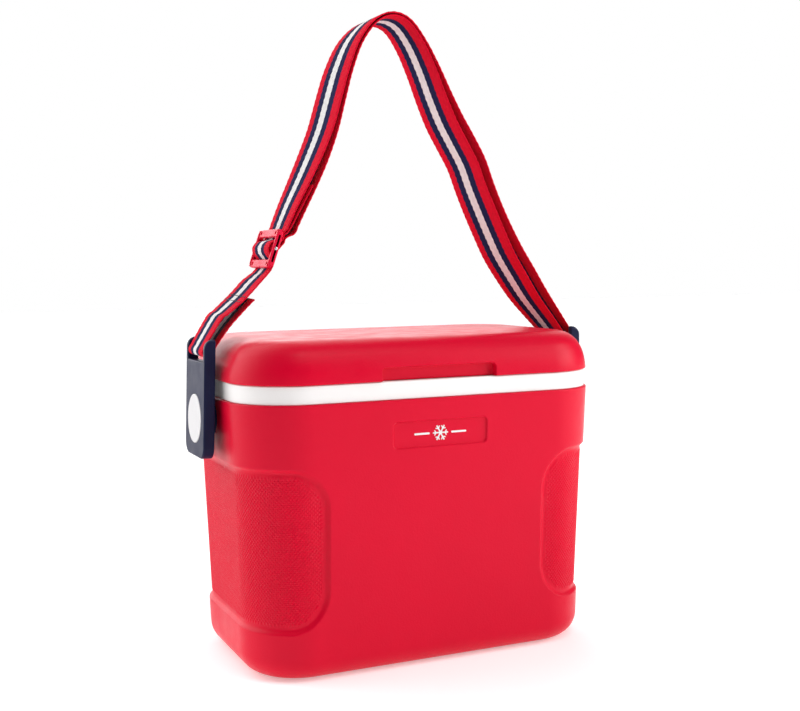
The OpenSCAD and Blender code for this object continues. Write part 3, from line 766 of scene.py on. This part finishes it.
def lid_liner():
    """White inner panel with its plug, notched where the finger recess passes."""
    size = lid_size(LID_LOW, LID_WALL + 0.3)
    hy = size[1]
    notch_x, notch_y = FINGER_HALF + 3.2, LID_Y - FINGER_DEPTH - 3.2
    corner = [plan_point(size, 1 + k / 16) for k in range(17)]
    outline = [(-notch_x, -notch_y), (notch_x, -notch_y), (notch_x, -hy)]
    outline += corner + [(x, -y) for x, y in reversed(corner)]
    outline += [(-x, -y) for x, y in corner] + [(-x, y) for x, y in reversed(corner)] + [(-notch_x, -hy)]

    def plug(z, d):
        x, y, _ = tub_size(z, -PLUG_GAP - d)
        return x, y, max(LINER_LOW_R + 3 - d, 2)

    dish = PLUG_LOW + 1.2
    rings = [plan_ring(plug(LID_LOW, -grow), LID_LOW - drop) for drop, grow in fillet(1.5, 5)]
    rings += [plan_ring(plug(PLUG_LOW + rise, d), PLUG_LOW + rise) for d, rise in fillet(3, 5)]
    rings += [plan_ring(plug(z, d), z) for z, d in ((PLUG_LOW, 12), (dish, 14), (dish, 60))]
    out = Shape()
    out.loft(rings, False, True)
    layers = [(LID_LOW, 0.6), (LID_LOW + 0.2, 0.2), (LID_LOW + 0.6, 0.0), (LID_LOW + 2.2, 0.0)]
    sides = [[(x, y, z) for x, y in inset(outline, d)] for z, d in layers]
    out.loft(sides, False, False)
    out.cap([sides[0], rings[0]], True)
    out.cap([sides[-1]])
    return piece("lid_panel", out, WHITE, "lid", ["lid_liner"], sharp=45)


# ---------------------------------------------------------------- hinges


def hinge_leaf(s, lid):
    x = s * HINGE_X
    out = Shape()
    if lid:
        y0, y1, z0, z1 = 100.55, 102.75, 247.7, 260.4
        knuckle = ([(100.6, 249.4), (100.6, 244.6), (101.6, 244.2)]
                   + arc(HINGE_Y, HINGE_Z, KNUCKLE_R, 170, 418, 26)[1:] + [(103.2, 249.0), (102.6, 249.4)])
        runs = [(x - KNUCKLE_HALF, x + KNUCKLE_HALF)]
    else:
        y0, y1, z0, z1 = 98.45, 100.65, 229.0, 241.6
        knuckle = ([(98.5, 242.7), (98.5, 238.2), (104.2, 238.2), (105.8, 238.7)]
                   + arc(HINGE_Y, HINGE_Z, KNUCKLE_R, -62, 168, 26) + [(100.9, 242.7)])
        runs = [(x - HINGE_HALF, x - KNUCKLE_HALF - 0.3), (x + KNUCKLE_HALF + 0.3, x + HINGE_HALF)]
    plate = box_outline(x - HINGE_HALF, x + HINGE_HALF, z0, z1, 2.2)
    out.join(slab(plate, [], edge_layers(y0, y1, 0.5, 3), lambda u, v, h: (u, h, v)))
    for a, b in runs:
        out.join(slab(knuckle, [], edge_layers(a, b, 0.5, 3), lambda u, v, h: (h, u, v)))
    return out


def hinges():
    for s, name in ((-1, "left"), (1, "right")):
        piece(f"{name}_hinge_lower", hinge_leaf(s, False), HINGE, "cooler_body",
              [f"{name}_hinge_body_leaf"], sharp=50)
        piece(f"{name}_hinge_upper", hinge_leaf(s, True), HINGE, "lid",
              [f"{name}_hinge_lid_leaf"], sharp=50)
        half = HINGE_HALF - 0.5
        pin = rod([(1.5, half + 0.3), (1.2, half + 0.8), (0, half + 0.9)], 32)
        place = Matrix.Translation((s * HINGE_X, HINGE_Y, HINGE_Z)) @ Matrix.Rotation(QUARTER, 4, "Y")
        piece(f"{name}_hinge_rod", pin.moved(place), STEEL, "cooler_body", [f"{name}_hinge_pin"])


# ---------------------------------------------------------------- brackets and pivots


def pulled(s):
    """The left bracket and its cap stand a little out at the bottom, where the strap's pull tips them."""
    if s > 0:
        return Matrix.Identity(4)
    return (Matrix.Translation((-BRACKET_OUT - PULL_OUT, 0, PIVOT_Z)) @ Matrix.Rotation(PULL_TIP, 4, "Y")
            @ Matrix.Translation((BRACKET_OUT, 0, -PIVOT_Z)))


def bracket(s):
    half, arm = BRACKET_HALF, BRACKET_HALF - ARM
    outline = rounded([(-half, BRACKET_LOW, 11), (half, BRACKET_LOW, 11), (half, BRACKET_HIGH, 2.8),
                       (arm, BRACKET_HIGH, 2.3), (arm, NOTCH_Z, 1.2), (-arm, NOTCH_Z, 1.2),
                       (-arm, BRACKET_HIGH, 2.3), (-half, BRACKET_HIGH, 2.8)], 10)
    # The top rolls over towards the face; the face's and the back's edges are softened.
    roll_r, edge_r, back_r, knee = 7.5, 1.3, 0.7, 261.0

    def fall(r, h):
        """How far an edge of radius r has come in at height h of the face."""
        return r - math.sqrt(r ** 2 - min(r, max(0, h - BRACKET_OUT + r)) ** 2)

    layers = [(BRACKET_OUT - BRACKET_THICK + rise, d) for rise, d in fillet(back_r, 3)]
    layers += [(BRACKET_OUT - drop, fall(edge_r, BRACKET_OUT - drop)) for _, drop in fillet(roll_r, 14)]

    def place(u, v, h):
        if v > knee:
            v = knee + (v - knee) * (BRACKET_HIGH - fall(roll_r, h) - knee) / (BRACKET_HIGH - knee)
        return s * h, u, v

    mouth = arc(0, PIVOT_Z, CAP_R + CAP_GAP, 360, 0, 96)[1:]
    body = slab(outline, [], layers, place, [(mouth, CAP_THICK - CAP_PROUD + PULL_OUT, 0.3)])
    name, rides = ("left", "strap") if s < 0 else ("right", "right_arm")
    return piece(f"{name}_bracket_body", body.moved(pulled(s)), NAVY, rides,
                 [f"{name}_bracket"], sharp=45)


def pivot(s):
    face = BRACKET_OUT + CAP_PROUD
    low = face - CAP_THICK
    profile = [(0, PIN_END), (SHAFT_R - 0.6, PIN_END), (SHAFT_R, PIN_END + 0.6), (SHAFT_R, low),
               (CAP_R - 0.2, low), (CAP_R, low + 0.2)]
    profile += [(CAP_R - d, face - drop) for d, drop in fillet(0.6, 4)]
    profile += [(CAP_R * k, face + 0.12 * (1 - k * k)) for k in (0.9, 0.75, 0.55, 0.3)] + [(0, face + 0.12)]
    side = Matrix.Scale(-1, 4, (1, 0, 0)) if s < 0 else Matrix.Identity(4)
    place = pulled(s) @ side @ Matrix.Translation((0, 0, PIVOT_Z)) @ Matrix.Rotation(QUARTER, 4, "Y")
    name = "left" if s < 0 else "right"
    return piece(f"{name}_pivot_cap", lathe(profile, 96).moved(place), CAP, "cooler_body",
                 [f"{name}_pivot_pin"], sharp=50)


# ---------------------------------------------------------------- strap

# Middle line of the strap from the left bracket to the right, as in the CAD:
# [x, z, outer layer, inner layer, turn of outer, turn of inner]
STRAP_ROUTE = (
    (-161, 291, 4, -5.3, 1, 1), (-143, 311, 0.4, -5.5, 3, 3), (-127, 328, 0, -3, 3, 3),
    (-104, 368, 1.5, -6, 2, 2), (-95, 387, 2, -5.8, 4, 4), (-84, 409, 2, -5, 7, 7),
    (-74, 431, 1.6, -4.5, 9, 9), (-64, 455, 1.5, -3.5, 10, 9), (-56, 481, 1.5, -3, 10, 8),
    (-48, 506, 1.5, -2.5, 9, 7), (-37, 530, 1.5, -2, 6, 5), (-22, 547, 1.3, -1.5, 2, 2),
    (-6, 553, 1.3, -1.3, -2, -2), (9, 548, 1.5, -1.3, -5, -5), (22, 531, 2.2, -1, -7, -8),
    (33, 509, 3.8, -1, -8, -10), (42, 487, 5.6, -1, -9, -11), (52, 465, 7.2, -1, -10, -12),
    (63, 446, 8, -1, -10, -12), (74, 427, 8, -1, -10, -12), (82, 407, 7.6, -1, -11, -12),
    (91, 387, 7.4, -1, -11, -13), (101, 366, 8, -1, -11, -13), (112, 345, 9, -1.2, -11, -13),
    (125, 326, 9, -1.6, -10, -12), (140, 306, 8, -2.2, -8, -9), (158, 287, 5.6, -3.2, -4, -5))
LAST = len(STRAP_ROUTE) - 1


def layer_point(i, k):
    """Point i of the route moved out to one of its two layers: k is 2 for the outer one, 3 for the inner.
    The webbing runs back along the inner layer, so its turn is counted the other way there."""
    a, b, p = STRAP_ROUTE[max(i - 1, 0)], STRAP_ROUTE[min(i + 1, LAST)], STRAP_ROUTE[i]
    t = Vector((b[0] - a[0], b[1] - a[1])).normalized()
    return Vector((p[0] - t.y * p[k], p[1] + t.x * p[k], -p[5] if k == 3 else p[4]))


def spline(p, a, b, q, u):
    return a + 0.5 * u * (b - p + u * (2 * p - 5 * a + 4 * b - q + u * (3 * (a - b) + q - p)))


def layer(i0, i1, k, steps=3):
    return [spline(layer_point(max(i - 1, i0), k), layer_point(i, k), layer_point(i + 1, k),
                   layer_point(min(i + 2, i1), k), j / steps) for i in range(i0, i1) for j in range(steps)]


def around(x, z, r, a0, a1, n):
    return [Vector((u, v, 0)) for u, v in arc(x, z, r, a0, a1, n)]


def at_slider(u, v, turn=0.0):
    """A place in the slider's frame: u along the strap, v outwards."""
    s, c = math.sin(SLIDER_TILT), math.cos(SLIDER_TILT)
    return Vector((SLIDER_X + u * s - v * c, SLIDER_Z + u * c + v * s, turn))


def strap_path():
    """The webbing's whole length, and where along it the outer run and the inner run start."""
    wrap, loop = BAR_R + 0.3 + WEB_T / 2, SLIDER_PIN_R + 0.3 + WEB_T / 2
    path = [layer_point(1, 3) + Vector((3.6, 3.2, 0)), layer_point(1, 3) + Vector((1.9, 1.7, 0)),
            layer_point(1, 3), layer_point(0, 3)]
    path += around(-BAR_X, BAR_Z, wrap, -38, -215, 9)
    path += layer(0, 2, 2)
    path += [at_slider(u, v) for u, v in (
        (-20, -2), (-15, -3.2), (-10.4, -3.2), (-8.6, -2.2), (-7, 0), (-5.2, 2.4), (-3, 4.2), (0, 4.8),
        (3.6, 4), (5.6, 2.2), (7, 0), (8.6, -2.2), (10.4, -3.2), (14, -3.2))]
    path += layer(3, LAST, 2) + [layer_point(LAST, 2)]
    path += around(BAR_X, BAR_Z, wrap, 38, -142, 9)
    path += [layer_point(LAST, 3)] + layer(3, LAST, 3)[::-1]
    path += [at_slider(12, -7.3), at_slider(8, -6.8), at_slider(3.4, -5)]
    path += [at_slider(loop * math.sin(math.radians(a)), loop * math.cos(math.radians(a)))
             for a in range(200, 376, 25)]
    path += [at_slider(2.6, 2.4), at_slider(4.2, 1), at_slider(5.5, -1), at_slider(7.2, -3.4),
             at_slider(9.8, -4.9), at_slider(14, -5.1),
             Vector((-103.4, 367.9, 2)), Vector((-93.4, 386.6, 4)), Vector((-83, 406.5, 6))]
    return path


def fine_path(path, step):
    """The path with a point about every step, each with its length from the start."""
    out, lengths = [], [0.0]
    for i in range(len(path) - 1):
        a, b = path[i], path[i + 1]
        p = path[i - 1] if i else a * 2 - b
        q = path[i + 2] if i + 2 < len(path) else b * 2 - a
        n = max(1, round((b - a).xy.length / step))
        for j in range(n):
            out.append(spline(p, a, b, q, j / n))
    out.append(path[-1].copy())
    for a, b in zip(out, out[1:]):
        lengths.append(lengths[-1] + (b - a).xy.length)
    return out, lengths


def strap_axes(path, i):
    """Middle, direction across the webbing and direction out of its face, at point i."""
    a, b, p = path[max(i - 1, 0)], path[min(i + 1, len(path) - 1)], path[i]
    t = (b - a).xy.normalized()
    turn = math.radians(p.z)
    out = Vector((-t.y, 0, t.x))
    across = Vector((0, math.cos(turn), 0)) + out * math.sin(turn)
    face = out * math.cos(turn) - Vector((0, math.sin(turn), 0))
    return Vector((p.x, 0, p.y)), across, face


def strap_webbing():
    path, lengths = fine_path(strap_path(), 1.15)
    half, thick = WEB_W / 2, WEB_T / 2
    steps = 24
    widths = [half - 0.55 - (WEB_W - 1.1) * k / steps for k in range(steps + 1)]
    shape = Shape()
    rings, marks = [], []
    for i, along in enumerate(lengths):
        c, across, face = strap_axes(path, i)
        wave = 0.22 * math.sin(2 * math.pi * along / SCALLOP)
        ring, uv = [], []

        def put(w, h):
            ring.append(tuple(c + across * w + face * h))
            uv.append(((half - w) * MM, along * MM))

        def rib(w, phase):
            return thick - 0.08 + 0.08 * math.sin(2 * math.pi * (along + 0.75 * w + phase) / SCALLOP)

        for s, phase in ((1, 0), (-1, 2.9)):
            for w in widths[::s]:
                put(w + wave * ((w == widths[0]) - (w == widths[-1])), s * rib(w, phase))
            for drop, h in ((0.22, 0.62), (0, 0), (0.22, -0.62)):
                put(-s * (half + wave - drop), s * h * thick)
        rings.append(ring)
        marks.append(uv)
    shape.loft(rings)
    made = piece("strap_band", shape, WEBBING, "strap", ["strap_webbing"], sharp=70, even=False,
                 merge=1e-4)
    layer_uv = made.data.uv_layers.new(name="weave")
    flat = [uv for ring in marks for uv in ring]
    for corner in made.data.loops:
        layer_uv.data[corner.index].uv = flat[corner.vertex_index]
    return path


def stitch_row(out, path, i, start, end, count):
    """A row of stitches across the webbing's outer face at path point i."""
    lift = WEB_T / 2 + 0.12
    c, across, face = strap_axes(path, i)
    for k in range(count):
        w = start + (end - start) * (k + 0.5) / count
        length = abs(end - start) / count * 0.68
        stitch = rod([(0.34, length / 4), (0.26, length / 2 - 0.1), (0, length / 2)], 10, [(0.36, 0)])
        turned = Matrix((face.cross(across), face, across)).transposed().to_4x4()
        middle = c + across * w + face * lift
        out.join(stitch.moved(Matrix.Translation(middle) @ turned))


def stitches(path):
    """Two rows across the fold by the left bracket."""
    out = Shape()
    for x, z in ((-142, 312), (-146.5, 307)):
        nearest = min(range(40, len(path) // 3), key=lambda i: math.hypot(path[i].x - x, path[i].y - z))
        stitch_row(out, path, nearest, -20.5, 20.5, 13)
    return piece("strap_stitches", out, THREAD, "strap", (), sharp=60, even=False)


def slider_place():
    return Matrix.Translation((SLIDER_X, 0, SLIDER_Z)) @ Matrix.Rotation(SLIDER_TILT, 4, "Y")


def strap_slider():
    w, h = SLIDER_W / 2, SLIDER_H / 2
    inner_w, inner_h = w - SLIDER_RAIL, h - SLIDER_BAR
    outline = box_outline(-w, w, -h, h, 4, 8)
    window = box_outline(-inner_w, inner_w, -inner_h, inner_h, 1.4, 5, True)
    pockets = []
    for m in (-1, 1):
        for k in (-1, 1):
            y, z = m * 19, k * 13.5
            pockets.append((box_outline(y - 1.6, y + 1.6, z - 1.4, z + 1.4, 0.4, 3, True), 1.5, 0.15))

    def place(u, v, t):
        return -t, u, v

    shape = slab(outline, [window], edge_layers(-SLIDER_T / 2, SLIDER_T / 2, 1.1, 5), place, pockets)
    # The two side rails stand a little thicker than the bars between them.
    for m in (-1, 1):
        rail = rounded([(m * inner_w, -h + 1, 1.2), (m * w, -h, 4), (m * w, h, 4),
                        (m * inner_w, h - 1, 1.2)])
        shape.join(slab(rail[::m], [], edge_layers(-RAIL_T / 2, RAIL_T / 2, 1.2, 5), place))
    piece("slider_frame", shape.moved(slider_place()), SLIDER, "strap", ["strap_slider"],
          sharp=50)
    r, end = SLIDER_PIN_R, w + 0.15
    bar = rod([(r, end - 0.5), (r * 0.7, end - 0.1), (0, end)], 40)
    piece("slider_rod", bar.moved(slider_place() @ Matrix.Rotation(QUARTER, 4, "X")), STEEL, "strap",
          ["slider_bar_pin"])


# ---------------------------------------------------------------- the object

outer_shell()
inner_liner()
lid_shell()
lid_liner()
hinges()
for end in (-1, 1):
    bracket(end)
    pivot(end)
stitches(strap_webbing())
strap_slider()

CAD_LOOKS = {"body_foam": FOAM, "lid_foam": FOAM, "badge_emblem": PRINT, "left_pivot_washer": NAVY,
             "right_pivot_washer": NAVY, "pivot_retainers": STEEL, "hinge_body_screws": STEEL,
             "hinge_lid_screws": STEEL, "left_crossbar": STEEL, "right_crossbar": STEEL}
for name, look in CAD_LOOKS.items():
    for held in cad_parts[name].material_slots:
        held.material = look

# ---------------------------------------------------------------- stage, light and camera

scene = bpy.context.scene
scene.view_settings.view_transform = "Standard"
scene.view_settings.look = "None"

floor_mesh = bpy.data.meshes.new("floor")
floor_mesh.from_pydata([(-8, -8, 0), (8, -8, 0), (8, 8, 0), (-8, 8, 0)], [], [(0, 1, 2, 3)])
floor_mesh.materials.append(Paint("floor", Roughness=0.9, Specular_IOR_Level=0.1,
                                  Base_Color=(0.9, 0.9, 0.9, 1), Emission_Color=(1, 1, 1, 1),
                                  Emission_Strength=0.34).material)
floor = placed("floor", floor_mesh)

world = bpy.data.worlds.new("studio")
scene.world = world
world.use_nodes = True
world.node_tree.nodes.clear()
sky = Nodes(world.node_tree)
aim = sky.add("VectorMath", {0: sky.add("TexCoord").outputs["Generated"], 1: (-0.45, 0.88, 0.15)},
              operation="DOT_PRODUCT").outputs["Value"]
glow = sky.add("MapRange", {"Value": aim, "From Min": 0.1, "From Max": 0.95, "To Min": 0.1, "To Max": 2.8},
               interpolation_type="SMOOTHSTEP").outputs["Result"]
# The camera sees plain white; the glow only lights the object.
sky.add("OutputWorld", {"Surface": sky.add("MixShader", {
    0: sky.add("LightPath").outputs["Is Camera Ray"],
    1: sky.add("Background", {"Color": glow}).outputs[0],
    2: sky.add("Background", {"Color": (1, 1, 1, 1)}).outputs[0]}).outputs[0]})


def softbox(name, azimuth, elevation, distance, size, power):
    """An area light aimed at the cooler. Azimuth is 0 from the front and 90 from +X."""
    a, e = math.radians(azimuth), math.radians(elevation)
    target = Vector((0, 0, 0.2))
    back = Vector((math.sin(a) * math.cos(e), -math.cos(a) * math.cos(e), math.sin(e)))
    data = bpy.data.lights.new(name, "AREA")
    data.shape = "SQUARE"
    data.size = size
    data.energy = power
    light = placed(name, data)
    light.location = target + back * distance
    light.rotation_mode = "QUATERNION"
    light.rotation_quaternion = back.to_track_quat("Z", "Y")


softbox("key", 58, 22, 2.0, 1.3, 27)
softbox("top", 15, 62, 1.8, 0.9, 9)
softbox("left", -125, 30, 2.2, 1.2, 3)

# The camera stands where the picture's perspective puts it.
YAW, PITCH, ROLL = 0.4263, 0.0788, -0.0100
look = Vector((math.sin(YAW) * math.cos(PITCH), math.cos(YAW) * math.cos(PITCH), -math.sin(PITCH)))
right = Vector((math.cos(YAW), -math.sin(YAW), 0))
up = right.cross(look)
tilted = right * math.cos(ROLL) + up * math.sin(ROLL)
upright = up * math.cos(ROLL) - right * math.sin(ROLL)
camera_data = bpy.data.cameras.new("camera")
camera_data.sensor_width = 36
camera_data.lens = 53.16
camera = placed("camera", camera_data)
camera.matrix_world = Matrix.Translation((-0.43260, -0.97074, 0.33954)) @ Matrix(
    (tilted, upright, -look)).transposed().to_4x4()
scene.camera = camera
